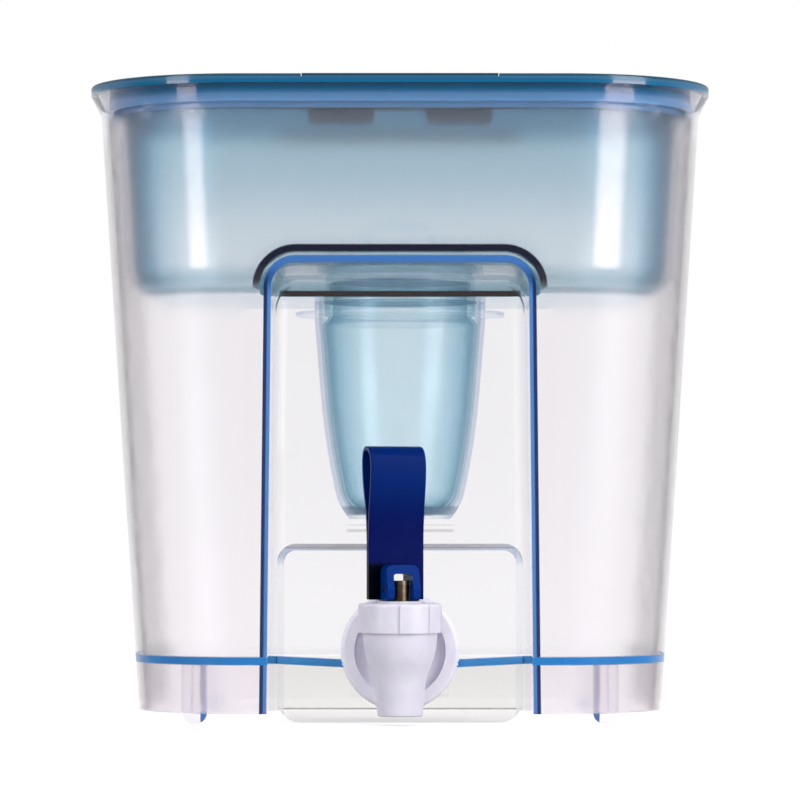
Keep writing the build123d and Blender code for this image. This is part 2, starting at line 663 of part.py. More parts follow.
with BuildPart() as bonnet_nut:
    with BuildSketch(tap_section):
        with BuildLine():
            Polyline(
                (neck_radius + thread_clearance, tap_shoulder_z),
                (bonnet_radius, tap_shoulder_z),
                (bonnet_radius, bonnet_top_z),
                (stem_radius + stem_clearance, bonnet_top_z),
                (stem_radius + stem_clearance, bonnet_boss_z + stem_seal_height),
                (stem_seal_radius, bonnet_boss_z + stem_seal_height),
                (stem_seal_radius, bonnet_boss_z),
                (bonnet_boss_radius, bonnet_boss_z),
                (bonnet_boss_radius, bonnet_under_z),
                (neck_radius + thread_clearance, bonnet_under_z),
                close=True,
            )
        make_face()
    revolve(axis=tap_axis)
    # grip pads: each one stands out at one end and runs out at the other
    with BuildSketch(Plane(origin=(0, tap_y, tap_shoulder_z), x_dir=(1, 0, 0))):
        for pad in range(bonnet_pads):
            start = 360 / bonnet_pads * pad
            finish = start + 360 / bonnet_pads
            with BuildLine():
                rise = bonnet_radius + bonnet_pad_rise
                crest = (rise * cos(radians(start)), rise * sin(radians(start)))
                run = RadiusArc(
                    crest,
                    (bonnet_radius * cos(radians(finish)), bonnet_radius * sin(radians(finish))),
                    -bonnet_radius,
                )
                Polyline(run @ 1, (0, 0), crest)
            make_face()
        Circle(bonnet_radius - bonnet_pad_rise, mode=Mode.SUBTRACT)
    extrude(amount=bonnet_top_z - tap_shoulder_z)
    fillet(bonnet_nut.faces().sort_by(Axis.Z)[-1].outer_wire().edges(), bonnet_edge)
keep(bonnet_nut, "bonnet_nut")


def keep_ring(name, low_z, height, outer_radius, inner_radius):
    """Builds one plain ring on the tap's axis and keeps it."""
    with BuildPart() as ring:
        with BuildSketch(Plane(origin=(0, tap_y, low_z), x_dir=(1, 0, 0))):
            Circle(outer_radius)
            Circle(inner_radius, mode=Mode.SUBTRACT)
        extrude(amount=height)
    keep(ring, name)


keep_ring("bonnet_seal", neck_top_z, bonnet_seal_thickness, neck_radius, chamber_radius)
keep_ring("stem_seal", bonnet_boss_z, stem_seal_height, stem_seal_radius, stem_radius + stem_clearance / 2)
keep_ring("slip_washer", bonnet_top_z, washer_thickness, washer_radius, stem_radius + stem_clearance)

# ================================================================ lever, in its own yawed frame
lever_frame = Plane(
    origin=(0, tap_y, pin_z),
    x_dir=(sin(radians(lever_yaw)), -cos(radians(lever_yaw)), 0),  # forwards
    z_dir=(-cos(radians(lever_yaw)), -sin(radians(lever_yaw)), 0),  # across, to the left
)

with BuildPart() as stem:
    with BuildSketch(Plane(origin=(0, tap_y, stem_disc_z - stem_tail_length), x_dir=(1, 0, 0))):
        Circle(stem_tail_radius)
    extrude(amount=stem_tail_length)
    with BuildSketch(Plane(origin=(0, tap_y, stem_disc_z), x_dir=(1, 0, 0))):
        Circle(stem_disc_radius)
    extrude(amount=stem_disc_thickness)
    with BuildSketch(Plane(origin=(0, tap_y, stem_disc_top_z), x_dir=(1, 0, 0))):
        Circle(stem_radius)
    extrude(amount=stem_top_z - stem_disc_top_z)
    with BuildSketch(lever_frame):
        Circle(pin_radius + pin_press)
    extrude(amount=2 * stem_radius, both=True, mode=Mode.SUBTRACT)
keep(stem, "stem")

with BuildPart() as lever_pin:
    with BuildSketch(lever_frame):
        Circle(pin_radius)
    extrude(amount=fork_half, both=True)
keep(lever_pin, "lever_pin")

with BuildPart() as seat_cup:
    with BuildSketch(Plane(origin=(0, tap_y, seat_top_z + cup_gap), x_dir=(1, 0, 0))):
        Circle(cup_radius)
    extrude(amount=stem_disc_z - seat_top_z - cup_gap)
    fillet(seat_cup.edges().group_by(Axis.Z)[0], cup_edge)
    with BuildSketch(Plane(origin=(0, tap_y, stem_disc_z), x_dir=(1, 0, 0))):
        Circle(stem_tail_radius)
    extrude(amount=-stem_tail_length, mode=Mode.SUBTRACT)
keep(seat_cup, "seat_cup")

spring_height = bonnet_boss_z - stem_disc_top_z
with BuildPart() as return_spring:
    with BuildLine():
        coil = Helix(
            pitch=(spring_height - 2 * spring_wire_radius) / spring_turns,
            height=spring_height - 2 * spring_wire_radius,
            radius=spring_radius,
            center=(0, tap_y, stem_disc_top_z + spring_wire_radius),
        )
    with BuildSketch(Plane(origin=coil @ 0, z_dir=coil % 0)):
        Circle(spring_wire_radius)
    sweep(path=coil, is_frenet=True)
keep(return_spring, "return_spring")


lever_forward = Axis(lever_frame.origin, lever_frame.x_dir)
lever_front_view = Plane(
    origin=lever_frame.origin + Vector(0, 0, fork_slot_top), x_dir=-lever_frame.z_dir, z_dir=lever_frame.x_dir
)
strap_middle = (lever_front + lever_back) / 2


def heel_point(angle):
    """Point of the cam's outline that bears on the washer when the lever is tilted by angle, in radians."""
    reach = heel_depth + cam_rise * angle
    return (reach * sin(angle) + cam_rise * cos(angle), cam_rise * sin(angle) - reach * cos(angle))


with BuildPart() as fork:
    # hood around the stem's top whose heel is the cam
    with BuildSketch(lever_frame):
        with BuildLine():
            steps = [radians(cam_angle) * step / cam_steps for step in range(cam_steps + 1)]
            cam = Spline(*[heel_point(angle) for angle in steps])
            Polyline(
                cam @ 1,
                (fork_front, 0),
                (fork_brow, fork_top),
                (strap_middle, fork_top),
                (strap_middle, -heel_depth),
                cam @ 0,
            )
        make_face()
    extrude(amount=fork_half, both=True)
    fillet(fork.edges().filter_by(lever_forward).group_by(Axis.Z)[-1], fork_corner)

with BuildPart() as lever:
    # strap: two layers at the foot that part into a closed loop above
    with BuildSketch(lever_frame):
        with BuildLine():
            Polyline(
                (lever_back, loop_start),
                (lever_back, lever_foot),
                (lever_front, lever_foot),
                (lever_front, loop_start),
            )
            Spline(
                (lever_front, loop_start),
                (loop_front, loop_middle),
                (lever_crest, lever_top),
                tangents=((0, 1), (-1, 0)),
            )
            Spline(
                (lever_crest, lever_top),
                (loop_back, loop_shoulder),
                (lever_back, loop_start),
                tangents=((-1, 0), (0, -1)),
            )
        make_face()
    extrude(amount=lever_width / 2, both=True)
    strap_sides = lever.faces().filter_by(Axis(lever_frame.origin, lever_frame.z_dir))
    fillet(strap_sides.edges(), lever_edge)
    with BuildSketch(lever_frame):
        with BuildLine():
            Spline(
                (strap_middle, loop_start),
                (loop_front - lever_strip, loop_middle),
                (lever_crest, lever_top - lever_strip),
                tangents=((0, 1), (-1, 0)),
            )
            Spline(
                (lever_crest, lever_top - lever_strip),
                (loop_back + lever_strip, loop_shoulder),
                (strap_middle, loop_start),
                tangents=((-1, 0), (0, -1)),
            )
        make_face()
    extrude(amount=lever_width, both=True, mode=Mode.SUBTRACT)
    add(fork.part)
    # slot for the stem, open at the front, the back and below
    with BuildSketch(lever_front_view) as slot:
        Rectangle(2 * fork_slot_half, heel_depth + fork_slot_top + 1, align=(Align.CENTER, Align.MAX))
        fillet(slot.vertices().group_by(Axis.Y)[-1], slot_corner)
    extrude(amount=lever_width, both=True, mode=Mode.SUBTRACT)
    with BuildSketch(lever_frame):
        Circle(pin_radius + pin_clearance)
    extrude(amount=2 * fork_half, both=True, mode=Mode.SUBTRACT)
keep(lever, "lever")
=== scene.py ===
"""Looks of a gravity water filter: clear tank, tinted hopper and lid, cartridge and lever tap."""

import logging
from dataclasses import dataclass
from enum import Enum
from functools import reduce
from math import cos, radians, sin

import bmesh
import bpy
from mathutils import Matrix, Vector


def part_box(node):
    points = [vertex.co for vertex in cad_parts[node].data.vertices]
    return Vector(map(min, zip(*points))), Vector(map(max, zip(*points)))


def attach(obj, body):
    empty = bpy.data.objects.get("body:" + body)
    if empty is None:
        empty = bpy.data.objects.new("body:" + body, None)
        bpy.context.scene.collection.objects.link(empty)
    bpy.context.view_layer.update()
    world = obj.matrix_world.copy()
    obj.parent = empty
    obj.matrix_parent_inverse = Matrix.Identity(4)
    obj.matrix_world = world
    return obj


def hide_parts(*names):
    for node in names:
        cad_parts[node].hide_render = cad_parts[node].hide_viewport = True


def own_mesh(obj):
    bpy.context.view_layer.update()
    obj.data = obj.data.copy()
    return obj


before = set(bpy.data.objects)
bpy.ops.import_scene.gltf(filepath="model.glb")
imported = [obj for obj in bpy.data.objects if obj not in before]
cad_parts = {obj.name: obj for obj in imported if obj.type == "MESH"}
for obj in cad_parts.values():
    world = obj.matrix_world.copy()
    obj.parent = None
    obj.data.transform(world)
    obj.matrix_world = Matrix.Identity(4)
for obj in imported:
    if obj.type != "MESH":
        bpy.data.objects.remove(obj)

LOG = logging.getLogger("water_filter")
MILLIMETRE = 0.001
WHITE = (1.0, 1.0, 1.0)
EVEN = (1.0, 1.0, 1.0)
Span = tuple[float, float]
Triple = tuple[float, float, float]
Pair = tuple[Triple, Triple]
Stops = tuple[tuple[float, Triple], ...]
Socket = bpy.types.NodeSocket
Input = float | Triple | Socket
Paint = tuple[Socket, Input]


def paint(red: int, green: int, blue: int) -> Triple:
    """Turn a display colour into the linear colour that shaders use.

    Args:
        red: Red, from 0 to 255.
        green: Green, from 0 to 255.
        blue: Blue, from 0 to 255.

    Returns:
        The linear colour.
    """
    shares = (red / 255, green / 255, blue / 255)
    return tuple(((v + 0.055) / 1.055) ** 2.4 if v > 0.04 else v / 12.92 for v in shares)


def stops(*rows: tuple[float, int, int, int]) -> Stops:
    """Turn rows of a place and a display colour into the stops of a ramp."""
    return tuple((place, paint(*colour)) for place, *colour in rows)


class Graph:
    """The node tree of one material or world, with a short way to add each kind of node."""

    def __init__(self, name: str, world: bool = False) -> None:
        """Start an empty material or world.

        Args:
            name: Its name.
            world: Whether it is a world.
        """
        self.kind = "World" if world else "Material"
        self.owner = (bpy.data.worlds if world else bpy.data.materials).new(name)
        self.owner.use_nodes = True
        self.tree = self.owner.node_tree
        self.tree.nodes.clear()
        self.place: dict[str, Socket] = {}
        self.shapes: dict[object, Socket] = {}

    def add(
        self, kind: str, inputs: dict[str | int, Input] | None = None, **settings: object
    ) -> bpy.types.Node:
        """Add a node.

        Args:
            kind: The node's type, without the ShaderNode in front.
            inputs: A value or a socket for each input, by name or number.
            **settings: Values for the node's own properties.

        Returns:
            The node.
        """
        node = self.tree.nodes.new("ShaderNode" + kind)
        for name, value in settings.items():
            setattr(node, name, value)
        for name, value in (inputs or {}).items():
            self.feed(node.inputs[name], value)
        return node

    def feed(self, socket: Socket, value: Input) -> None:
        """Link or set one input.

        Args:
            socket: The input.
            value: A socket to link, or a plain value.
        """
        if isinstance(value, bpy.types.NodeSocket):
            self.tree.links.new(value, socket)
        elif isinstance(value, tuple) and len(value) == 3 and socket.type == "RGBA":
            socket.default_value = (*value, 1.0)
        else:
            socket.default_value = value

    def math(
        self, operation: str, first: Input, second: Input = 0.0, third: Input = 0.0
    ) -> Socket:
        """Add a Math node.

        Args:
            operation: The node's operation.
            first: Its first value.
            second: Its second value.
            third: Its third value.

        Returns:
            The result.
        """
        node = self.add("Math", operation=operation)
        for socket, value in zip(node.inputs, (first, second, third)):
            self.feed(socket, value)
        return node.outputs[0]

    def product(self, *factors: Input) -> Socket:
        """Multiply two or more values, from the first to the last."""
        return reduce(lambda first, second: self.math("MULTIPLY", first, second), factors)

    def largest(self, *values: Input) -> Socket:
        """Give the largest of two or more values."""
        return reduce(lambda first, second: self.math("MAXIMUM", first, second), values)

    def absolute(self, value: Input) -> Socket:
        """Give a value without its sign."""
        return self.math("ABSOLUTE", value)

    def length(self, across: Socket, along: Socket) -> Socket:
        """Give the length of an offset from its two parts."""
        squares = self.product(across, across), self.product(along, along)
        return self.math("SQRT", self.math("ADD", *squares))

    def where(self) -> dict[str, Socket]:
        """Give the place and the surface's direction, in the object's own space.

        Returns:
            x, y, z and point in millimetres, and the direction's nx, ny and nz.
        """
        if not self.place:
            spot = self.add("TexCoord")
            size = (1.0 / MILLIMETRE,) * 3
            scale = self.add("Mapping", {"Vector": spot.outputs["Object"], "Scale": size})
            for prefix, socket in (("", scale.outputs[0]), ("n", spot.outputs["Normal"])):
                split = self.add("SeparateXYZ", {0: socket})
                for axis, out in zip("xyz", split.outputs):
                    self.place[prefix + axis] = out
            self.place["point"] = scale.outputs[0]
        return self.place

    def step(self, value: Input, start: float, end: float) -> Socket:
        """Rise smoothly from 0 at start to 1 at end, or fall if end is below start."""
        low, high, first, last = (start, end, 0.0, 1.0) if start < end else (end, start, 1.0, 0.0)
        names = ("Value", "From Min", "From Max", "To Min", "To Max")
        inputs = dict(zip(names, (value, low, high, first, last)))
        return self.add("MapRange", inputs, interpolation_type="SMOOTHSTEP").outputs[0]

    def band(self, value: Input, low: float, high: float, soft: float) -> Socket:
        """Give 1 between low and high, and 0 outside them, with edges that are soft wide."""
        rise = self.step(value, low - soft / 2, low + soft / 2)
        fall = self.step(value, high + soft / 2, high - soft / 2)
        return self.math("MULTIPLY", rise, fall)

    def mix(self, share: Input, first: Input, second: Input) -> Socket:
        """Blend two colours.

        Args:
            share: How much of the second colour shows.
            first: The first colour.
            second: The second colour.

        Returns:
            The blend.
        """
        node = self.add("Mix", data_type="RGBA")
        self.feed(node.inputs[0], share)
        self.feed(node.inputs[6], first)
        self.feed(node.inputs[7], second)
        return node.outputs[2]

    def between(self, share: Input, first: Input, second: Input) -> Socket:
        """Blend two numbers, as mix does with colours."""
        node = self.add("Mix", data_type="FLOAT")
        for socket, value in zip(node.inputs[0:1] + node.inputs[2:4], (share, first, second)):
            self.feed(socket, value)
        return node.outputs[0]

    def noise(self, scale: float, detail: float = 2.0, stretch: Triple = EVEN) -> Socket:
        """Give fine noise in the object's own space.

        Args:
            scale: Cells in a millimetre.
            detail: Octaves of detail.
            stretch: A factor along each axis.

        Returns:
            Values around one half.
        """
        spread = self.add("Mapping", {"Vector": self.where()["point"], "Scale": stretch})
        inputs = {"Vector": spread.outputs[0], "Scale": scale, "Detail": detail}
        return self.add("TexNoise", inputs).outputs[0]

    def facing(self) -> Socket:
        """Give 0 where the surface is seen square on and 1 where it is seen edge on."""
        return self.add("LayerWeight", {"Blend": 0.5}).outputs["Facing"]

    def gloss(self, lift: float = 1.0, glint: float = 1.0) -> Socket:
        """Give the share of light that polished plastic mirrors.

        Args:
            lift: A factor for the share edge on, which is all of the light at 1.
            glint: A factor for the share square on, which is 4 percent at 1.

        Returns:
            The share.
        """
        edge = self.math("POWER", self.facing(), 5.0)
        return self.math("MULTIPLY_ADD", edge, 0.96 * lift, 0.04 * glint)

    def ramp(self, value: Socket, table: Stops) -> Socket:
        """Turn a value into a colour.

        Args:
            value: The value.
            table: Each place on the ramp and its colour.

        Returns:
            The colour.
        """
        node = self.add("ValToRGB", {0: value})
        node.color_ramp.interpolation = "EASE"
        elements = node.color_ramp.elements
        while len(elements) < len(table):
            elements.new(0.5)
        for element, (place, colour) in zip(elements, table):
            element.position = place
            element.color = (*colour, 1.0)
        return node.outputs[0]

    def bump(self, height: Socket, distance: float, strength: float = 1.0) -> Socket:
        """Tilt the surface by a height.

        Args:
            height: The height, from 0 to 1.
            distance: How high 1 is, in millimetres.
            strength: How much of it shows.

        Returns:
            The new normal.
        """
        inputs = {"Height": height, "Distance": distance * MILLIMETRE, "Strength": strength}
        return self.add("Bump", inputs).outputs[0]

    def blend(self, share: Input, first: Socket, second: Socket) -> Socket:
        """Blend two shaders.

        Args:
            share: How much of the second one shows.
            first: The first shader.
            second: The second shader.

        Returns:
            The blend.
        """
        return self.add("MixShader", {0: share, 1: first, 2: second}).outputs[0]

    def finish(self, shader: Socket) -> bpy.types.Material | bpy.types.World:
        """Send a shader to the output.

        Args:
            shader: The shader.

        Returns:
            The material or the world.
        """
        self.add("Output" + self.kind, {"Surface": shader})
        return self.owner


@dataclass(frozen=True)
class ClearPlastic:
    """See-through plastic: each surface tints what is behind it and mirrors what is in front."""

    name: str
    tint: Stops = ()
    cloud: Triple = (0.8, 0.8, 0.82)
    cloudiness: float = 0.03
    edge_cloudiness: float = 0.0
    cloud_roughness: float = 0.4
    cloud_gloss: float = 0.1
    roughness: float = 0.06
    grain: float = 0.05
    grain_scale: float = 1.8
    frosting: float = 0.26
    index: float = 1.3
    ripple: float = 0.02
    ripple_scale: float = 0.02
    ripple_stretch: Triple = (1.0, 1.0, 0.35)
    ripple_strength: float = 0.6
    mirrored: float = 1.0
    glint: float = 1.0
    sheen: Triple = WHITE
    sheen_fade: Span = (0.5, 0.8)

    def dress(
        self,
        graph: Graph,
        tint: Socket | None = None,
        cover: Socket | None = None,
        colour: Input | None = None,
        frost: Socket | None = None,
    ) -> bpy.types.Material:
        """Build the shader.

        Args:
            graph: The material's node tree.
            tint: What each surface lets through, in place of the finish's own tint.
            cover: Where the surface is painted, from 0 to 1.
            colour: The paint's colour.
            frost: Where the surface is frosted and blurs what is behind it, from 0 to 1.

        Returns:
            The material.
        """
        flow = graph.noise(self.ripple_scale, 2.0, self.ripple_stretch)
        fine = graph.noise(self.grain_scale, 2.0)
        normal = graph.bump(flow, self.ripple, self.ripple_strength)
        tint = tint or graph.ramp(graph.facing(), self.tint)
        haze = self.cloudiness
        if self.edge_cloudiness:
            haze = graph.math("MULTIPLY_ADD", graph.facing(), self.edge_cloudiness, haze)
            haze = graph.math("MINIMUM", haze, 1.0)
        solid = graph.add("BsdfPrincipled", {
            "Base Color": colour or self.cloud, "Normal": normal,
            "Roughness": self.cloud_roughness, "Specular IOR Level": self.cloud_gloss})
        clear = graph.add("BsdfTransparent", {"Color": tint}).outputs[0]
        rough = graph.math("MULTIPLY_ADD", fine, self.grain, self.roughness)
        if frost is not None:
            look = {"Color": tint, "Roughness": self.frosting, "IOR": self.index}
            blur = graph.add("BsdfRefraction", look).outputs[0]
            lit = graph.math("SUBTRACT", 1.0, graph.add("LightPath").outputs["Is Shadow Ray"])
            clear = graph.blend(graph.product(frost, lit), clear, blur)
            rough = graph.math("MULTIPLY_ADD", frost, self.frosting - self.roughness, rough)
        base = haze if cover is None else graph.largest(cover, haze)
        body = graph.blend(base, clear, solid.outputs[0])
        tone = graph.mix(graph.step(graph.facing(), *self.sheen_fade), self.sheen, WHITE)
        look = {"Color": tone, "Roughness": rough, "Normal": normal}
        shine = graph.add("BsdfAnisotropic", look).outputs[0]
        return graph.finish(graph.blend(graph.gloss(self.mirrored, self.glint), body, shine))


@dataclass(frozen=True)
class SolidPlastic:
    """Moulded plastic, metal or rubber that light doesn't pass."""

    name: str
    colour: Triple
    shade: Triple
    roughness: float = 0.3
    grain: float = 0.02
    grain_scale: float = 1.2
    grain_roughness: float = 0.16
    metallic: float = 0.0
    stretch: Triple = EVEN
    cloud_scale: float = 0.12
    cloud_span: Span = (0.35, 0.7)
    sheen: float = 0.0
    glow: float = 0.0
    glow_depth: float = 0.004
    gloss: float = 0.5

    def dress(self, graph: Graph, colour: Socket | None = None) -> bpy.types.Material:
        """Build the shader.

        Args:
            graph: The material's node tree.
            colour: A colour in place of the finish's own.

        Returns:
            The material.
        """
        if colour is None:
            cloud = graph.noise(self.cloud_scale, 3.0, self.stretch)
            colour = graph.mix(graph.step(cloud, *self.cloud_span), self.colour, self.shade)
        fine = graph.noise(self.grain_scale, 3.0, self.stretch)
        spread = self.grain_roughness
        shader = graph.add("BsdfPrincipled", {
            "Base Color": colour,
            "Roughness": graph.math("MULTIPLY_ADD", fine, spread, self.roughness - spread / 2),
            "Metallic": self.metallic, "Normal": graph.bump(fine, self.grain),
            "Sheen Weight": self.sheen, "Specular IOR Level": self.gloss,
            "Subsurface Weight": self.glow, "Subsurface Scale": self.glow_depth})
        return graph.finish(shader.outputs[0])


@dataclass(frozen=True)
class Arch:
    """An upright round-cornered outline that is open below, in millimetres."""

    half_low: float = 56.5
    half_high: float = 54.3
    low: float = 5.0
    top: float = 196.0
    corner: float = 10.0

    def distance(self, graph: Graph) -> Socket:
        """Give the distance outside the outline, across x and z, in millimetres."""
        if self not in graph.shapes:
            spot = graph.where()
            slope = (self.half_high - self.half_low) / (self.top - self.low)
            foot = self.half_low - slope * self.low - self.corner
            half = graph.math("MULTIPLY_ADD", spot["z"], slope, foot)
            side = graph.math("SUBTRACT", graph.absolute(spot["x"]), half)
            above = graph.math("SUBTRACT", spot["z"], self.top - self.corner)
            outer = graph.length(graph.largest(side, 0.0), graph.largest(above, 0.0))
            inner = graph.math("MINIMUM", graph.largest(side, above), 0.0)
            edge = graph.math("ADD", outer, inner)
            graph.shapes[self] = graph.math("SUBTRACT", edge, self.corner)
        return graph.shapes[self]


class Slot(Enum):
    """The record's material slots."""

    CLEAR = "clear_plastic"
    HOPPER = "tinted_hopper"
    LID = "tinted_lid"
    CUP = "cup_plastic"
    WHITE = "white_plastic"
    LEVER = "lever_plastic"
    BRASS = "stem_metal"
    PIN = "pin_steel"
    SPRING = "spring_steel"
    RUBBER = "seal_rubber"
    CLOTH = "mesh_cloth"
    WASHER = "washer_plastic"
    MEDIA = "media"


def to_data(mesh: bmesh.types.BMesh, name: str) -> bpy.types.Mesh:
    """Turn a work mesh into a mesh of that name, and free it."""
    data = bpy.data.meshes.new(name)
    mesh.to_mesh(data)
    mesh.free()
    return data


def put(name: str, data: bpy.types.ID) -> bpy.types.Object:
    """Put a mesh, a lamp or a camera into the scene under that name."""
    item = bpy.data.objects.new(name, data)
    bpy.context.scene.collection.objects.link(item)
    return item


def show(node: str, material: bpy.types.Material, slot: Slot) -> None:
    """Give a frame node its material and report it.

    Args:
        node: The node's name.
        material: Its new material.
        slot: The record's material slot that it stands for.
    """
    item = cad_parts[node]
    item.data.materials.clear()
    item.data.materials.append(material)
    faces = len(item.data.polygons)
    LOG.info("dressed %s in %s, slot %s, %d faces", node, material.name, slot.value, faces)


@dataclass
class Tank:
    """The clear tank with its niche, floor, feet and lip, in millimetres."""

    niche: Arch = Arch()
    niche_end: Arch = Arch(top=190.2, corner=12.0)
    panel: Arch = Arch(53.0, 53.0, 5.0, 77.0, 8.0)
    wall: float = 3.0
    skirt_low: float = 5.0
    front_low: float = 78.0
    front_slope: float = 11.25 / 258.0
    rear: Span = (10.0, 40.0)
    mouth_depth: Span = (5.0, 3.6)
    mouth_turn: Span = (193.0, 181.0)
    mouth_across: Span = (1.3, 2.0)
    mouth_above: Span = (186.0, 196.5)
    line_share: float = 0.985
    line_upright: Span = (0.6, 0.4)
    floor_low: float = 25.8
    floor_high: float = 29.2
    floor_half: float = 57.0
    floor_drop: Span = (0.05, 0.4)
    floor_ahead: Span = (30.0, -10.0)
    foot_x: float = 88.0
    foot_y: float = 55.0
    foot_radius: float = 6.0
    foot_core: float = 5.6
    foot_top: float = 5.2
    foot_share: float = 0.38
    lip_low: float = 256.0
    lip_high: float = 268.0
    ledge_share: float = 0.7
    seam_share: float = 0.14
    ledge_across: Span = (-2.9, -0.1)
    ledge_rise: Span = (66.0, 72.0)
    ledge_top: Span = (74.0, 77.0)
    end_wall: Span = (-47.5, -42.5)
    end_front: Span = (-42.0, -43.0)
    end_ceiling: Span = (-47.5, -38.0)
    end_across: Span = (-1.2, -0.5)
    end_rise: Span = (174.0, 182.0)
    end_share: float = 0.75
    ceiling_down: Span = (-0.5, -0.8)
    ceiling_front: Span = (-58.0, -74.0)
    ceiling_height: Span = (188.0, 197.5)
    ceiling_share: float = 0.5
    sill: Span = (5.6, 6.2)
    sill_side: Span = (-3.0, -5.0)
    sill_share: float = 0.4
    strip_low: Span = (82.0, 83.3)
    strip_high: Span = (84.8, 85.3)
    strip_side: Span = (24.5, 21.5)
    strip_share: float = 0.3
    strip_fade: float = 0.6
    frost_beside: Span = (8.5, 14.0)
    frost_rear: Span = (20.0, 30.0)
    frost_foot: Span = (4.5, 6.0)
    frost_upright: Span = (0.7, 0.4)
    frost_facing: Span = (0.86, 0.56)
    niche_tint: Stops = stops((0.0, 250, 249, 250), (0.5, 243, 241, 244), (0.75, 240, 240, 244),
                              (0.95, 246, 246, 250))
    rear_tint: Stops = stops((0.0, 254, 254, 254), (0.5, 254, 254, 254), (0.7, 253, 252, 253),
                             (0.9, 254, 253, 254))
    # Painted highlight and shade across the panel's ledge, upwards from its foot.
    ledge_light_and_shade: Stops = stops((0.0, 160, 176, 198), (0.45, 70, 84, 112), (0.7, 150, 152, 160),
                              (1.0, 120, 122, 130))
    # Painted shade under the floor: tints that darken what is seen below it, more in the niche.
    under_floor_shade_tint: Triple = paint(250, 248, 249)
    under_floor_niche_shade_tint: Triple = paint(246, 246, 244)
    foot_tint: Triple = paint(249, 248, 250)
    foot_blue: Triple = paint(84, 132, 204)
    side_blues: Pair = (paint(76, 122, 184), paint(18, 42, 92))
    top_blues: Pair = (paint(0, 44, 96), paint(62, 108, 172))
    floor_blues: Pair = (paint(25, 118, 190), paint(62, 144, 208))
    niche_greys: Pair = (paint(84, 120, 136), paint(44, 74, 86))
    reflected_grey: Triple = paint(118, 118, 118)
    plastic: ClearPlastic = ClearPlastic(
        "clear_tank_plastic",
        stops((0.0, 249, 247, 249), (0.38, 248, 246, 248), (0.5, 248, 246, 248),
              (0.58, 249, 247, 249), (0.7, 253, 251, 253), (0.9, 255, 254, 255)),
        cloudiness=0.003, roughness=0.04, mirrored=0.6, glint=0.25)

    def tint(self, graph: Graph) -> Socket:
        """Give what each surface lets through: less in the niche, and less below the floor as
        painted shade.
        """
        spot = graph.where()
        front = graph.ramp(graph.facing(), self.plastic.tint)
        niche = graph.ramp(graph.facing(), self.niche_tint)
        rear = graph.ramp(graph.facing(), self.rear_tint)
        outside = self.niche.distance(graph)
        below = graph.step(spot["z"], self.floor_high, self.floor_low)
        inside = graph.step(outside, 0.0, -2.0)
        under = graph.mix(inside, self.under_floor_shade_tint, self.under_floor_niche_shade_tint)
        tint = graph.add("Mix", {0: 1.0}, data_type="RGBA", blend_type="MULTIPLY")
        near = graph.step(outside, self.wall + 0.6, self.wall)
        graph.feed(tint.inputs[6], graph.mix(near, front, niche))
        graph.feed(tint.inputs[7], graph.mix(below, WHITE, under))
        tint = graph.mix(graph.step(spot["y"], *self.rear), tint.outputs[2], rear)
        across = graph.math("SUBTRACT", graph.absolute(spot["x"]), self.foot_x)
        along = graph.math("SUBTRACT", graph.absolute(spot["y"]), self.foot_y)
        inside = graph.step(graph.length(across, along), self.foot_radius + 0.2, self.foot_core)
        foot = graph.product(inside, graph.step(spot["z"], self.floor_low, self.floor_low - 1.8))
        return graph.mix(foot, tint, self.foot_tint)

    def edges(self, graph: Graph) -> Paint:
        """Find where thick plastic is seen end on or reflected, and its blues and greys, with
        painted light and shade on the ledge and the niche's ceiling.

        Args:
            graph: The material's node tree.

        Returns:
            The share of paint, and its colour.
        """
        spot = graph.where()
        flat = graph.step(graph.absolute(spot["nz"]), *self.line_upright)
        mouth, mouth_blue = self.mouth_line(graph)
        band, floor_blue = self.floor_band(graph)
        rim = graph.product(band, flat, graph.step(spot["y"], *self.floor_ahead))
        foot = self.foot_lines(graph)
        colour = graph.mix(band, mouth_blue, floor_blue)
        colour = graph.mix(graph.step(foot, 0.0, 0.1), colour, self.foot_blue)
        cover = graph.product(graph.largest(mouth, rim, foot), self.line_share)
        for find in (self.ledge_line, self.end_line, self.reflected_lines):
            share, grey = find(graph, flat)
            share = graph.product(share, graph.step(cover, 0.5, 0.0))
            colour = graph.mix(graph.step(share, 0.0, 0.1), colour, grey)
            cover = graph.largest(cover, share)
        return cover, colour

    def mouth_line(self, graph: Graph) -> Paint:
        """Give the share and blue of the line around the niche's mouth."""
        spot = graph.where()
        outside = self.niche.distance(graph)
        foot = -self.front_low + self.front_slope * self.skirt_low
        front = graph.math("MULTIPLY_ADD", spot["z"], -self.front_slope, foot)
        near = graph.step(graph.math("SUBTRACT", spot["y"], front), *self.mouth_depth)
        side = graph.mix(graph.step(outside, *self.mouth_across), *self.side_blues)
        top = graph.mix(graph.step(spot["z"], *self.mouth_above), *self.top_blues)
        blue = graph.mix(graph.step(spot["z"], *self.mouth_turn), top, side)
        return graph.product(graph.band(outside, 0.1, self.wall + 0.2, 0.5), near), blue

    def floor_band(self, graph: Graph) -> Paint:
        """Give the share and blue of the floor's edge, which hangs lower under the niche."""
        spot = graph.where()
        under = graph.step(self.niche.distance(graph), 1.0, -1.0)
        beside = graph.math("SUBTRACT", self.floor_half, graph.absolute(spot["x"]))
        drop = graph.math("MULTIPLY_ADD", graph.largest(beside, 0.0), *self.floor_drop)
        level = graph.math("ADD", spot["z"], graph.product(drop, under))
        band = graph.band(level, self.floor_low, self.floor_high, 0.6)
        return band, graph.mix(under, *self.floor_blues)

